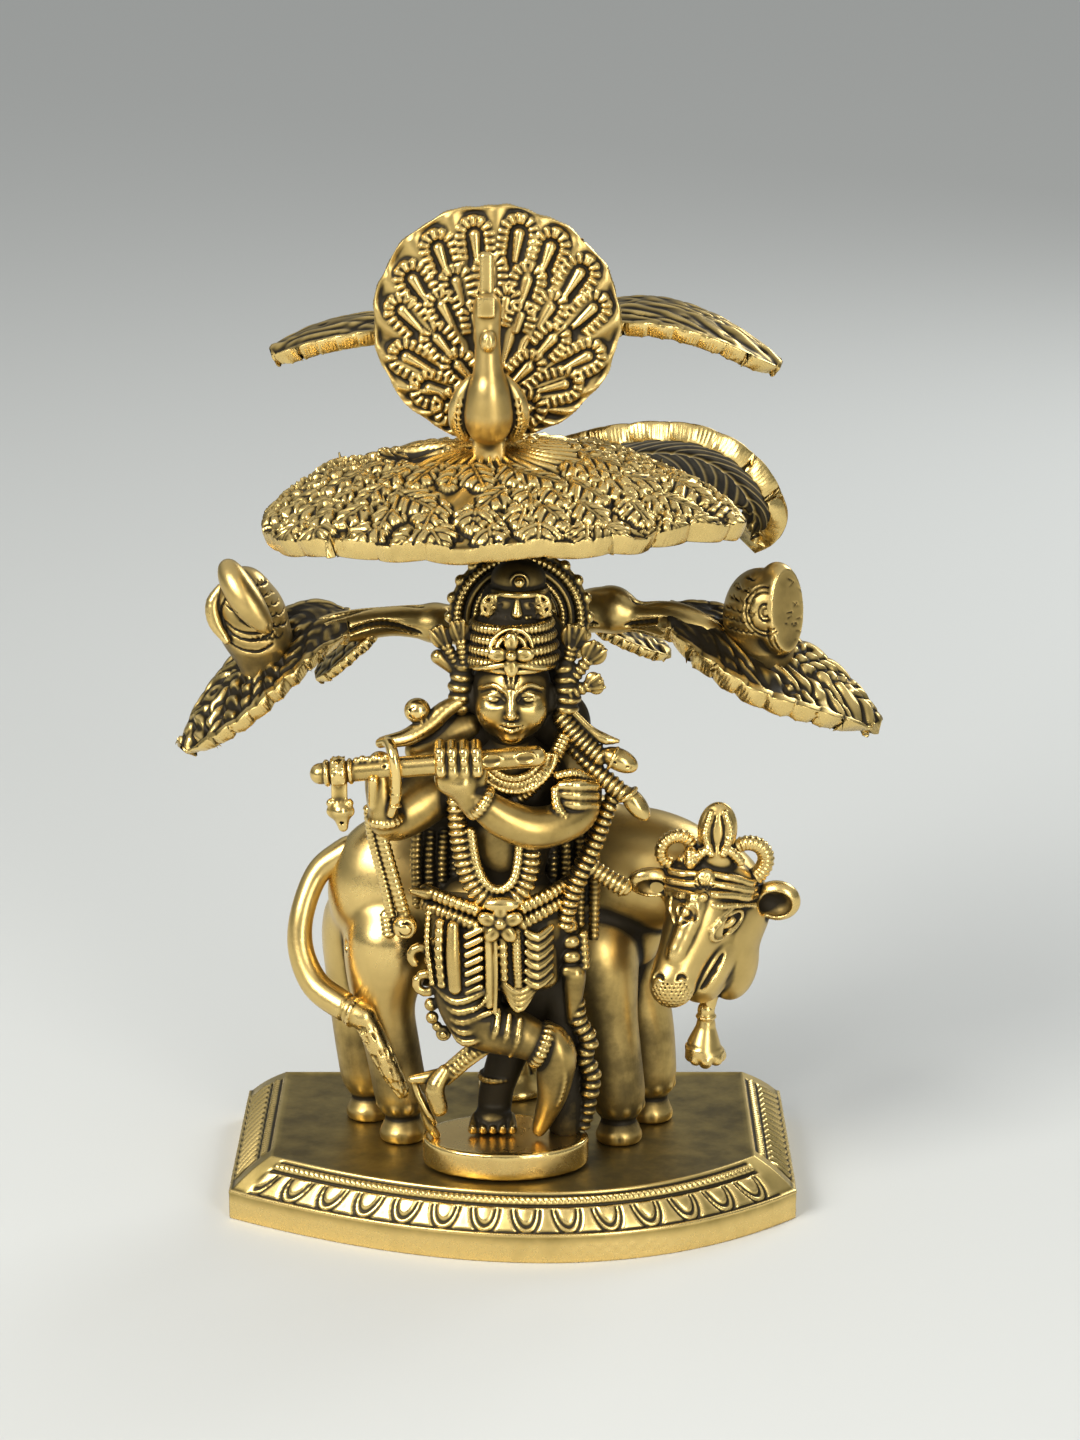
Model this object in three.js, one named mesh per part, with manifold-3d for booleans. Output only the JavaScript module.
// A cast brass deity statue: a flute player on an oval pedestal, a cow and a tree with birds, on a
// bow-fronted plinth. Millimetres, +X to the viewer's right, +Y away from the viewer, +Z up.
// Every casting is its own closed solid, and castings that touch keep a gap of GAP.
import * as THREE from 'three';
import { ConvexGeometry } from 'three/addons/geometries/ConvexGeometry.js';
import { mergeVertices } from 'three/addons/utils/BufferGeometryUtils.js';
import Module from 'manifold-3d';

const wasm = await Module();
wasm.setup();

// ---- driving dimensions ----
const GAP = 0.3;
const PLINTH = {
  halfWidth: 62.3, rearY: 38, cornerY: -21, apexX: 7, apexY: -45,
  topHalfWidth: 53, topRearY: 31, topCornerY: -19, topApexX: 6, topApexY: -39,
  bandHeight: 6, height: 14, wall: 4.5, topPlate: 3,
};
const PEDESTAL = { x: -1.5, y: -22, halfLength: 18.1, halfDepth: 12, height: 6 };
const PEDESTAL_BASE_Z = PLINTH.height + GAP;
const PEDESTAL_TOP_Z = PEDESTAL_BASE_Z + PEDESTAL.height;
const FIGURE_Y = -21;
const HALO = { x: 3, y: -12.5, z: 134, outer: 17, inner: 9, depth: 3 };
const FLUTE = { start: [-40, -31, 105.2], end: [5, -32, 109.3], radius: 2.6 };
const COW_Y = 1;
const HOOF_RADIUS = 4.6;
const TRUNK = { x: 0, y: 21, radius: 4.6 };
const CANOPY = { halfWidth: 52, frontY: -43, rearY: 15, crestZ: 169, droop: 11, thickness: 2.6 };
const FAN = { x: -3.4, y: 6, z: 194, halfWidth: 26, halfHeight: 25, depth: 3.4 };
const BALL_SEGMENTS = [8, 5];

// ---- solids from three.js geometry ----
function solid(geometry) {
  const bare = geometry.clone();
  bare.deleteAttribute('normal');
  bare.deleteAttribute('uv');
  const merged = mergeVertices(bare, 1e-4);
  return new wasm.Manifold(new wasm.Mesh({
    numProp: 3,
    vertProperties: new Float32Array(merged.attributes.position.array),
    triVerts: new Uint32Array(merged.index.array),
  }));
}

function join(pieces) {
  return pieces.reduce((whole, piece) => whole.add(piece));
}

function cut(piece, ...tools) {
  return tools.reduce((rest, tool) => rest.subtract(tool), piece);
}

function ballGeometry([x, y, z], radius) {
  const [rx, ry, rz] = Array.isArray(radius) ? radius : [radius, radius, radius];
  const geometry = new THREE.SphereGeometry(1, ...BALL_SEGMENTS);
  geometry.rotateX(Math.PI / 2);
  geometry.scale(rx, ry, rz);
  geometry.translate(x, y, z);
  return geometry;
}

function ball(centre, radius) {
  return solid(ballGeometry(centre, radius));
}

function cornersOf(geometry) {
  const place = geometry.attributes.position;
  return Array.from({ length: place.count }, (_, i) => new THREE.Vector3().fromBufferAttribute(place, i));
}

function cornersOfSolid(body) {
  const { vertProperties } = body.getMesh();
  const points = [];
  for (let i = 0; i < vertProperties.length; i += 3) {
    points.push(new THREE.Vector3(...vertProperties.slice(i, i + 3)));
  }
  return points;
}

// The skin stretched over any number of balls, each given as [centre, radius].
function hull(...balls) {
  const corners = balls.flatMap(([centre, radius]) => cornersOf(ballGeometry(centre, radius)));
  return solid(new ConvexGeometry(corners));
}

// A limb of round sections: each entry is [x, y, z, radius], and grow fattens it all over.
function limb(stations, grow = 0) {
  const pieces = [];
  for (let i = 1; i < stations.length; i += 1) {
    const [a, b] = [stations[i - 1], stations[i]];
    pieces.push(hull([a.slice(0, 3), a[3] + grow], [b.slice(0, 3), b[3] + grow]));
  }
  return join(pieces);
}

function rod(start, end, radius, sides = 12) {
  const from = new THREE.Vector3(...start);
  const along = new THREE.Vector3(...end).sub(from);
  const geometry = new THREE.CylinderGeometry(radius, radius, along.length(), sides);
  geometry.translate(0, along.length() / 2, 0);
  geometry.applyQuaternion(new THREE.Quaternion().setFromUnitVectors(
    new THREE.Vector3(0, 1, 0), along.clone().normalize()));
  geometry.translate(...start);
  return solid(geometry);
}

// A turned solid on the vertical axis through (x, y): profile is [radius, z] from bottom to top.
function turned(x, y, profile, sides = 14) {
  const geometry = new THREE.LatheGeometry(profile.map(([r, z]) => new THREE.Vector2(r, z)), sides);
  geometry.rotateX(Math.PI / 2);
  geometry.translate(x, y, 0);
  return solid(geometry);
}

function ring(centre, radius, tube, tilt = [Math.PI / 2, 0, 0]) {
  const geometry = new THREE.TorusGeometry(radius, tube, 6, 14);
  geometry.rotateX(tilt[0] - Math.PI / 2);
  geometry.rotateY(tilt[1]);
  geometry.rotateZ(tilt[2]);
  geometry.translate(...centre);
  return solid(geometry);
}

// A thin plate of any form: a box whose corners (u, v in -1..1, side -0.5 or 0.5) are each moved by place.
function plate(place, across = 14, along = 10) {
  const geometry = new THREE.BoxGeometry(2, 2, 1, across, along, 1);
  const position = geometry.attributes.position;
  for (let i = 0; i < position.count; i += 1) {
    position.setXYZ(i, ...place(position.getX(i), position.getY(i), position.getZ(i)));
  }
  return solid(geometry);
}

// A leaf blade along a curved midrib, with its half width, cupping and lean across the rib.
function leafBlade({ rib, halfWidth, cup, lean = 0, thickness = 2.4 }) {
  const curve = new THREE.CatmullRomCurve3(rib.map((p) => new THREE.Vector3(...p)));
  const heading = Math.sign(rib.at(-1)[0] - rib[0][0]);
  return plate((u, v, side) => {
    const along = (u + 1) / 2;
    const point = curve.getPoint(along);
    const across = new THREE.Vector3(0, heading, 0);
    const up = new THREE.Vector3().crossVectors(curve.getTangent(along), across).normalize();
    if (up.z < 0) up.negate();
    const reach = halfWidth * (0.12 + 0.88 * Math.sin(Math.PI * along ** 0.85) ** 0.7);
    point.addScaledVector(across, v * reach);
    point.addScaledVector(up, lean * heading * v * reach - cup * v * v + side * thickness);
    return point.toArray();
  }, 9, 6);
}

const BRASS = { aged: 0x8f6f35, polished: 0xb08d4a, dark: 0x5d4a26, olive: 0x75693f, steel: 0x8d8d8f };

function part(name, body, colour, roughness = 0.42) {
  const { vertProperties, triVerts } = body.getMesh();
  const geometry = new THREE.BufferGeometry();
  geometry.setAttribute('position', new THREE.BufferAttribute(new Float32Array(vertProperties), 3));
  geometry.setIndex(new THREE.BufferAttribute(new Uint32Array(triVerts), 1));
  geometry.computeVertexNormals();
  const material = new THREE.MeshStandardMaterial({ color: colour, roughness, metalness: 0.95 });
  const mesh = new THREE.Mesh(geometry, material);
  mesh.name = name;
  return mesh;
}

// ---- plinth and pedestal ----
// The plan of the plinth: straight back and sides, and a bowed front whose apex is off centre.
function plinthOutline(halfWidth, rearY, cornerY, apexX, apexY, z) {
  const bow = new THREE.QuadraticBezierCurve(
    new THREE.Vector2(-halfWidth, cornerY),
    new THREE.Vector2(2 * apexX, 2 * apexY - cornerY),
    new THREE.Vector2(halfWidth, cornerY));
  const back = [new THREE.Vector2(halfWidth, rearY), new THREE.Vector2(-halfWidth, rearY)];
  return [...bow.getPoints(16), ...back].map(({ x, y }) => new THREE.Vector3(x, y, z));
}

function plinthBody(inset, bottomZ, bandTopZ, topZ) {
  const p = PLINTH;
  const foot = [p.halfWidth - inset, p.rearY - inset, p.cornerY + inset, p.apexX, p.apexY + inset];
  const rearY = p.topRearY - inset;
  const head = [p.topHalfWidth - inset, rearY, p.topCornerY + inset, p.topApexX, p.topApexY + inset];
  return solid(new ConvexGeometry([
    ...plinthOutline(...foot, bottomZ),
    ...plinthOutline(...foot, bandTopZ),
    ...plinthOutline(...head, topZ),
  ]));
}

const SCREWS = {
  figure_screw: { x: PEDESTAL.x, y: PEDESTAL.y, shank: 1.9, head: 3.8, top: 18.5, boss: 6 },
  cow_rear_screw: { x: -32, y: 6, shank: 1.4, head: 2.9, top: 21, boss: 4.6 },
  cow_front_screw: { x: 24, y: -8, shank: 1.4, head: 2.9, top: 21, boss: 4.6 },
  trunk_screw: { x: TRUNK.x, y: TRUNK.y, shank: 1.9, head: 3.8, top: 26, boss: 6 },
};
const BOSS_BOTTOM_Z = 4.6;
const HEAD_HEIGHT = 2.4;

function screwHole({ x, y, shank, top }) {
  return rod([x, y, -1], [x, y, top + GAP], shank + GAP);
}

function screw({ x, y, shank, head, top }) {
  const seatZ = BOSS_BOTTOM_Z - GAP;
  const slot = solid(new THREE.BoxGeometry(head * 3, 0.9, 1.6).translate(x, y, seatZ - HEAD_HEIGHT));
  return cut(turned(x, y, [
    [0, seatZ - HEAD_HEIGHT], [head, seatZ - HEAD_HEIGHT], [head, seatZ - 0.4], [head - 0.4, seatZ],
    [shank, seatZ], [shank, top - 0.6], [0, top],
  ]), slot);
}

function plinthCasting() {
  const p = PLINTH;
  const shell = cut(
    plinthBody(0, 0, p.bandHeight, p.height),
    plinthBody(p.wall, -1, p.bandHeight - 1, p.height - p.topPlate));
  const bosses = Object.values(SCREWS).map(({ x, y, boss }) =>
    rod([x, y, BOSS_BOTTOM_Z], [x, y, p.height - 1], boss));
  return cut(join([shell, ...bosses]), ...Object.values(SCREWS).map(screwHole));
}

function figurePedestal() {
  const { x, y, halfLength, halfDepth, height } = PEDESTAL;
  const straight = halfLength - halfDepth;
  const rounding = 1.2;
  const round = (sign) => turned(x + sign * straight, y, [
    [0, PEDESTAL_BASE_Z], [halfDepth, PEDESTAL_BASE_Z],
    [halfDepth, PEDESTAL_BASE_Z + height - rounding],
    [halfDepth - rounding, PEDESTAL_BASE_Z + height], [0, PEDESTAL_BASE_Z + height],
  ], 24);
  const slab = solid(new ConvexGeometry([...cornersOfSolid(round(-1)), ...cornersOfSolid(round(1))]));
  return cut(slab, screwHole(SCREWS.figure_screw));
}

// ---- the flute player ----
function fluteRod(grow = 0) {
  return rod(FLUTE.start, FLUTE.end, FLUTE.radius + grow, 16);
}

function flute() {
  const [x, y, z] = FLUTE.start;
  return join([fluteRod(), ball([x - 0.8, y, z], 3.3)]);
}

const TASSEL_TOP = [-35.5, -31, FLUTE.start[2] + 0.5 - FLUTE.radius - GAP];

function fluteTassel() {
  const [x, y, z] = TASSEL_TOP;
  return join([
    rod([x, y, z], [x, y, z - 2.5], 1.2, 12),
    turned(x, y, [[0, z - 9.5], [0.8, z - 8.5], [3, z - 4.5], [2.2, z - 2], [0, z - 1.5]], 16),
  ]);
}

function haloOutline(grow) {
  const band = new THREE.Shape();
  band.absarc(0, 0, HALO.outer + grow, -0.2 * Math.PI, 1.2 * Math.PI, false);
  band.absarc(0, 0, HALO.inner - grow, 1.2 * Math.PI, -0.2 * Math.PI, true);
  return band;
}

function haloBand(grow = 0) {
  const depth = HALO.depth + 2 * grow;
  const options = { depth, bevelEnabled: false, curveSegments: 16 };
  const geometry = new THREE.ExtrudeGeometry(haloOutline(grow), options);
  geometry.rotateX(Math.PI / 2);
  geometry.translate(HALO.x, HALO.y + HALO.depth / 2 + grow, HALO.z);
  return solid(geometry);
}

function figureLegs() {
  const y = FIGURE_Y;
  const sole = PEDESTAL_TOP_Z + GAP;
  const standing = limb([
    [5, y + 3, 66, 8], [3, y + 3, 44, 5.4], [-4.5, y + 3, 27, 3.6], [-5, y + 1, sole + 3, 3],
  ]);
  const standingFoot = hull([[-5, y + 1, sole + 2.6], 2.6], [[-5, y - 9, sole + 2], [3.6, 2.4, 2]]);
  const crossing = limb([
    [-8, y - 1, 66, 8], [-8, y - 4, 45, 5], [3.5, y - 5, 39, 3.4], [10, y - 4, 38, 3.2],
  ]);
  const crossingFoot = limb([[9, y - 4, 37, 3.2], [6.5, y - 6, sole + 3, 2.4]]);
  return [standing, standingFoot, crossing, crossingFoot];
}

function figureDrapery() {
  const y = FIGURE_Y;
  const sole = PEDESTAL_TOP_Z + GAP;
  return [
    hull([[-3, y + 1, 69], [16, 8.5, 8]], [[1, y + 1, 52], [11, 7, 6]]),
    hull([[2, y - 5, 70], [5, 4, 5]], [[3, y - 4, 52], [5.5, 3.5, 5]]),
    limb([[14, y + 3, 72, 4.5], [15, y + 3, 50, 4], [16.5, y + 3, sole + 5, 3]]),
    limb([[-17, y + 3, 70, 3.5], [-18, y + 2, 50, 3], [-14, y + 1, 33, 3], [-18, y - 2, sole + 4, 2.6]]),
    limb([[-14, y + 1, 33, 3], [-8, y, 40, 3]]),
  ];
}

function figureTorso() {
  const y = FIGURE_Y;
  return [
    hull([[3, y, 95], [13, 7.5, 9]], [[0.5, y, 76], [10, 7, 6]]),
    hull([[0.5, y, 78], [11, 7.4, 5]], [[-3, y, 70], [15, 8.4, 6]]),
    limb([[3, y, 100, 6.5], [1, y - 1, 108, 5.4]]),
    limb([[20, y + 1, 98, 4.4], [22, y + 2, 84, 3.2], [14, y + 3, 72, 3.4]]),
    limb([[16, y + 2, 112, 3.6], [24, y, 100, 3.4], [28, y, 92, 2.8]]),
    limb([[-13, y + 2, 110, 3.4], [-20, y + 3, 106, 3], [-24, y + 3, 104, 2.2]]),
  ];
}

function figureArms() {
  const y = FIGURE_Y;
  return [
    limb([[-10, y, 99, 5], [-18, y - 3, 88, 4.2], [-26, y - 8, 95, 3.3], [-25, y - 10, 107, 4.2]]),
    limb([[17, y, 99, 5], [17, y - 6, 92, 4.4], [-5, y - 10, 99, 3.2], [-11, y - 11, 107, 4.4]]),
    limb([[-28.5, y - 7, 93, 1.5], [-25.5, y - 4, 69, 1.5], [-17, y, 69, 2]]),
  ];
}

function figureHead() {
  const y = FIGURE_Y;
  return [
    ball([0, y - 2, 118.5], [9.3, 9, 10.6]),
    hull([[0.5, y, 127], [10, 8, 3]], [[1.5, y, 139], [8, 6.6, 3]]),
    hull([[1.5, y, 139], [6.5, 5.5, 3]], [[2, y, 146], 3.2]),
    ball([-11.5, y + 1, 120], [4.6, 4, 9]),
    ball([13, y + 1, 118], [5.6, 4, 10]),
  ];
}

function deityFigure() {
  const limbs = [...figureLegs(), ...figureArms()];
  const body = join([...limbs, ...figureDrapery(), ...figureTorso(), ...figureHead()]);
  const floor = solid(new THREE.BoxGeometry(80, 60, 10).translate(0, FIGURE_Y, PEDESTAL_TOP_Z + GAP - 5));
  return cut(body, fluteRod(GAP), haloBand(GAP), floor);
}

// The halo is a flat arch, with a stay across its back that joins the two feet of the arch.
function haloArch() {
  const stayY = HALO.y + 2.5;
  const stay = hull(
    [[HALO.x, stayY, HALO.z - 13], [12, 1.5, 3]],
    [[HALO.x, stayY, HALO.z - 2], [13, 1.5, 3]]);
  const front = new THREE.BoxGeometry(70, 20, 60).translate(HALO.x, HALO.y - HALO.depth / 2 - 10, HALO.z - 8);
  return cut(join([haloBand(), stay]), solid(front));
}

// ---- the cow ----
function cowTorso(grow = 0) {
  const fat = (rx, ry, rz) => [rx + grow, ry + grow, rz + grow];
  return hull([[-26, COW_Y, 69], fat(15.5, 11, 17)], [[13, COW_Y, 69.5], fat(17, 12, 19.5)]);
}

const COW_LEGS = [
  // far rear, near rear, near front, far front
  { stations: [[-32, 8, 56, 9], [-35, 7, 38, 4.2], [-33, 6, 22, 3.4]], hoof: [-32, 6] },
  { stations: [[-26, -5, 56, 8], [-28, -6, 38, 4.2], [-25, -6.5, 22, 3.4]], hoof: [-24, -7] },
  { stations: [[18, -6, 56, 7], [21, -7, 38, 4.4], [23, -8, 22, 3.6]], hoof: [24, -8] },
  { stations: [[24, 7, 56, 7], [29, 6, 38, 4.2], [30.5, 5, 22, 3.6]], hoof: [31, 5] },
];

function cowLeg({ stations, hoof }, grow = 0) {
  const [x, y] = hoof;
  const sole = PLINTH.height + GAP;
  const foot = turned(x, y, [
    [0, sole], [HOOF_RADIUS + grow, sole], [HOOF_RADIUS - 1.2 + grow, sole + 5], [0, sole + 6],
  ], 16);
  return join([limb([...stations, [x, y, sole + 4, 3.2]], grow), foot]);
}

function cowBodySolid(grow = 0) {
  return join([cowTorso(grow), ...COW_LEGS.map((leg) => cowLeg(leg, grow))]);
}

function cowBody() {
  const floor = solid(new THREE.BoxGeometry(120, 60, 10).translate(0, 0, PLINTH.height + GAP - 5));
  return cut(cowBodySolid(), floor, screwHole(SCREWS.cow_rear_screw), screwHole(SCREWS.cow_front_screw));
}

function cowHead() {
  const [x, y, z] = [43, -15, 77];
  const neck = hull([[31, -1, 74], [8, 9, 13]], [[47, -8, 71], [8, 7.5, 12]]);
  const dewlap = hull([[48, -8, 66], [6, 6, 9]], [[44, -12, 50], [3, 3, 3.5]]);
  const skull = hull([[x, y, z], [9, 6.5, 8.5]], [[x - 4, y - 7, z - 18], [5.6, 5, 5.4]]);
  const ears = [
    limb([[x - 8, y + 1, z + 1, 3], [x - 15, y + 1, z, 2.6]]),
    limb([[x + 9, y + 1, z + 1, 3], [x + 16, y + 1, z - 2, 3]]),
  ];
  const horns = [ring([x - 7, y + 1, z + 9], 3.6, 1.5), ring([x + 8, y + 1, z + 8], 4.4, 1.6)];
  const crest = hull([[x + 1, y, z + 7], [4.5, 3, 3]], [[x + 1, y, z + 15], [3.4, 2, 2.4]]);
  return cut(join([neck, dewlap, skull, ...ears, ...horns, crest]), cowBodySolid(GAP));
}

function cowTail() {
  return cut(limb([
    [-38, 1, 76, 2.8], [-44, -1, 68, 2.4], [-46, -4, 58, 2.2], [-43, -8, 49, 2.2],
    [-36, -13, 46, 2.4], [-32, -15, 40, 3], [-25, -15.5, 29, 2.2],
  ]), cowBodySolid(GAP));
}

function cowBell() {
  const [x, y, z] = [43.5, -13.5, 46.6];
  return cut(turned(x, y, [
    [0, z - 14], [1.6, z - 13.4], [2, z - 11.5], [4.2, z - 11], [4.4, z - 9], [3, z - 6],
    [2, z - 3.5], [1.6, z - 2], [1.6, z], [0, z],
  ], 18), hull([[48, -8, 66], [6.3, 6.3, 9.3]], [[44, -12, 50], [3.3, 3.3, 3.8]]));
}

// ---- the tree ----
function trunkCore(grow = 0) {
  const { x, y, radius } = TRUNK;
  return limb([
    [x, y, PLINTH.height + GAP + radius + 2, radius + 1.6], [x + 1, y, 60, radius], [x, y, 110, radius],
    [x - 1, y - 2, 132, radius], [x - 3, y - 3, 160, 4], [x - 3, y - 3, 192, 3],
  ], grow);
}

function treeTrunk() {
  const { x, y, radius } = TRUNK;
  const foot = turned(x, y, [
    [0, PLINTH.height + GAP], [radius + 3, PLINTH.height + GAP], [radius + 2.2, PLINTH.height + 3],
    [radius, 24], [0, 25],
  ]);
  return cut(join([trunkCore(), foot]), screwHole(SCREWS.trunk_screw));
}

const PARROT = {
  left: { x: -55.5, y: 3, z: 121.5, side: -1 },
  right: { x: 56, y: 1, z: 121, side: 1 },
};
const PIN_RADIUS = 1;

function parrotPinHole({ x, y, z }) {
  return rod([x, y, z - 8], [x, y, z + 5], PIN_RADIUS + GAP, 12);
}

function parrotPin({ x, y, z }) {
  return rod([x, y, z - 5.5], [x, y, z + 4], PIN_RADIUS, 12);
}

function parrotShape({ x, y, z, side }, grow = 0) {
  return join([
    hull(
      [[x, y, z + 6.5], [6 + grow, 6 + grow, 5.5 + grow]],
      [[x + side * 2, y - 1, z + 13], [5.6 + grow, 5 + grow, 4.5 + grow]]),
    limb([[x + side * 2, y - 3, z + 14, 4], [x + side * 4, y - 6, z + 18, 2]], grow),
    limb([[x - side * 2, y + 4, z + 6, 3.4], [x - side * 5, y + 10, z + 3, 1.6]], grow),
    rod([x, y, z + 0.6 - grow], [x, y, z + 4], 3.4 + grow, 12),
  ]);
}

function parrot(place) {
  return cut(parrotShape(place), parrotPinHole(place));
}

function lowerBranch({ side, arm, leaf }) {
  const place = side < 0 ? PARROT.left : PARROT.right;
  const seat = rod([place.x, place.y, place.z - 5], [place.x, place.y, place.z], 4.2, 14);
  return cut(join([limb(arm), leafBlade(leaf), seat]),
    trunkCore(GAP), parrotPinHole(place), parrotShape(place, GAP));
}

const LOWER_LEFT = {
  side: -1,
  arm: [[0, 19, 124, 3.6], [-14, 13, 126, 3.4], [-25, 12, 127.5, 2.8], [-38, 9, 125, 2.8]],
  leaf: {
    rib: [[-33, 8, 126], [-47, 4, 121], [-60, 0, 112], [-70, -3, 101]],
    halfWidth: 18, cup: 3.5, lean: 0.1,
  },
};
const LOWER_RIGHT = {
  side: 1,
  arm: [[0, 19, 126, 3.6], [18, 10, 130, 3.4], [27, 6, 131, 4.2], [36, 6, 129, 3], [42, 4, 127, 3]],
  leaf: {
    rib: [[36, 4, 128], [50, 1, 121.5], [64, -2, 115], [77, -4, 108.5]],
    halfWidth: 19, cup: 3.5, lean: 0.12,
  },
};

// The big front leaf: an oval dome, highest where it meets the trunk, scalloped by a smooth wave at its rim.
function canopyPoint(u, v, side) {
  const { halfWidth, frontY, rearY, crestZ, droop, thickness } = CANOPY;
  const across = u * Math.sqrt(1 - v * v / 2);
  const along = v * Math.sqrt(1 - u * u / 2);
  const y = (frontY + rearY) / 2 + along * (rearY - frontY) / 2;
  const fall = droop * (across ** 2 + 0.95 * Math.max(0, (rearY - 12 - y) / (rearY - 12 - frontY)) ** 1.8);
  return [-1 + across * halfWidth, y, crestZ - fall + side * thickness];
}

const PEACOCK = { x: -4.5, y: -5, z: 171.5, pin: 1.6 };

function peacockStud() {
  const { x, y, z, pin } = PEACOCK;
  return rod([x, y, z - 10], [x, y, z + 6], pin, 12);
}

function peacockHole() {
  const { x, y, z, pin } = PEACOCK;
  return rod([x, y, z - 12], [x, y, z + 6.4], pin + GAP, 12);
}

function peacockNut() {
  const { x, y, z, pin } = PEACOCK;
  const hexagon = rod([x, y, z - 8.4], [x, y, z - 5.6], 3.4, 6);
  return cut(hexagon, rod([x, y, z - 10], [x, y, z - 4], pin + GAP));
}

function canopyFrontLeaf() {
  return cut(plate(canopyPoint, 16, 10), trunkCore(GAP), peacockHole());
}

function canopyRearLeaf() {
  const blade = leafBlade({
    rib: [[0, 27, 163], [20, 30, 168], [40, 31, 167], [52, 31, 158], [57, 30, 145]],
    halfWidth: 13, cup: 3, lean: 0.25,
  });
  const stalk = limb([[-3, 22, 160, 3], [8, 28, 166, 2.6]]);
  return cut(join([blade, stalk]), trunkCore(GAP), plate(canopyKeepOut, 16, 10));
}

function canopyKeepOut(u, v, side) {
  const [x, y, z] = canopyPoint(u * 1.01, v * 1.01, side);
  return [x, y + (v > 0 ? 0.4 : 0), z + side * 2 * GAP];
}

function upperLeaf(rib, halfWidth, stem) {
  const blade = leafBlade({ rib, halfWidth, cup: 1.5, lean: -0.28 });
  return cut(join([blade, limb(stem)]), trunkCore(GAP), fanPlate(GAP));
}

function upperLeftLeaf() {
  return upperLeaf([[-20, 22, 190], [-34, 22, 190.5], [-44, 21, 188], [-51, 20, 185]], 9,
    [[-7, 19, 187, 2.4], [-14, 21, 189, 2.4], [-22, 22, 190, 2]]);
}

function upperRightLeaf() {
  return upperLeaf([[14, 22, 192], [30, 22, 193.5], [44, 21, 189.5], [57, 20, 182.5]], 11,
    [[1, 19, 188, 2.4], [8, 21, 191, 2.6], [18, 22, 192, 2.4]]);
}

// ---- the peacock ----
function fanPlate(grow = 0) {
  return plate((u, v, side) => {
    const across = u * Math.sqrt(1 - v * v / 2);
    const along = v * Math.sqrt(1 - u * u / 2);
    return [
      FAN.x + across * (FAN.halfWidth + grow),
      FAN.y - 3 * (1 - across ** 2) + side * -(FAN.depth + 2 * grow),
      FAN.z + along * (FAN.halfHeight + grow),
    ];
  }, 14, 10);
}

function peacockBody() {
  const { x, y, z } = PEACOCK;
  const body = join([
    hull([[x + 0.5, y - 1, z + 8], [7, 6, 6]], [[x + 0.5, y - 2, z + 14], [5.5, 5, 4]]),
    limb([[x, y - 3, z + 16, 3.6], [x - 0.5, y - 3.5, z + 26, 2.4], [x - 0.5, y - 4, z + 30, 2.8]]),
    limb([[x - 0.5, y - 5, z + 30, 1.6], [x - 0.5, y - 9, z + 28.5, 0.9]]),
    hull([[x - 0.5, y - 3, z + 33], [1.8, 1, 1]], [[x - 0.5, y - 3, z + 38], [2.2, 1, 1.6]]),
    rod([x, y, z + 0.6], [x, y, z + 6], 4.4, 16),
  ]);
  return cut(body, peacockHole(), fanPlate(GAP));
}

function peacockFan() {
  const footY = FAN.y + 0.6;
  const foot = rod([FAN.x, footY, FAN.z - FAN.halfHeight - 1], [FAN.x, footY, FAN.z - 12], 2.2, 10);
  return cut(join([fanPlate(), foot]), plate(canopyKeepOut, 16, 10), trunkCore(GAP));
}

// ---- assembly ----
const statue = new THREE.Group();
statue.add(
  part('plinth_casting', plinthCasting(), BRASS.olive, 0.5),
  part('figure_pedestal', figurePedestal(), BRASS.polished),
  part('deity_figure', deityFigure(), BRASS.aged),
  part('halo_arch', haloArch(), BRASS.aged),
  part('flute', flute(), BRASS.polished),
  part('flute_tassel', fluteTassel(), BRASS.aged),
  part('cow_body', cowBody(), BRASS.polished, 0.45),
  part('cow_head', cowHead(), BRASS.polished, 0.45),
  part('cow_tail', cowTail(), BRASS.polished),
  part('cow_bell', cowBell(), BRASS.polished),
  part('tree_trunk', treeTrunk(), BRASS.dark, 0.55),
  part('lower_left_branch', lowerBranch(LOWER_LEFT), BRASS.aged),
  part('lower_right_branch', lowerBranch(LOWER_RIGHT), BRASS.aged),
  part('left_parrot', parrot(PARROT.left), BRASS.polished),
  part('right_parrot', parrot(PARROT.right), BRASS.polished),
  part('canopy_front_leaf', canopyFrontLeaf(), BRASS.aged),
  part('canopy_rear_leaf', canopyRearLeaf(), BRASS.dark),
  part('upper_left_leaf', upperLeftLeaf(), BRASS.aged),
  part('upper_right_leaf', upperRightLeaf(), BRASS.aged),
  part('peacock_body', peacockBody(), BRASS.polished),
  part('peacock_fan', peacockFan(), BRASS.aged),
  part('peacock_stud', peacockStud(), BRASS.dark),
  part('peacock_nut', peacockNut(), BRASS.dark),
  part('left_parrot_pin', parrotPin(PARROT.left), BRASS.dark),
  part('right_parrot_pin', parrotPin(PARROT.right), BRASS.dark),
  ...Object.entries(SCREWS).map(([name, size]) => part(name, screw(size), BRASS.steel)),
);

// The origin is the middle of the whole statue's footprint, on the surface it stands on.
const extent = new THREE.Box3().setFromObject(statue);
const middle = extent.getCenter(new THREE.Vector3());
statue.position.set(-middle.x, -middle.y, -extent.min.z);

export default statue;
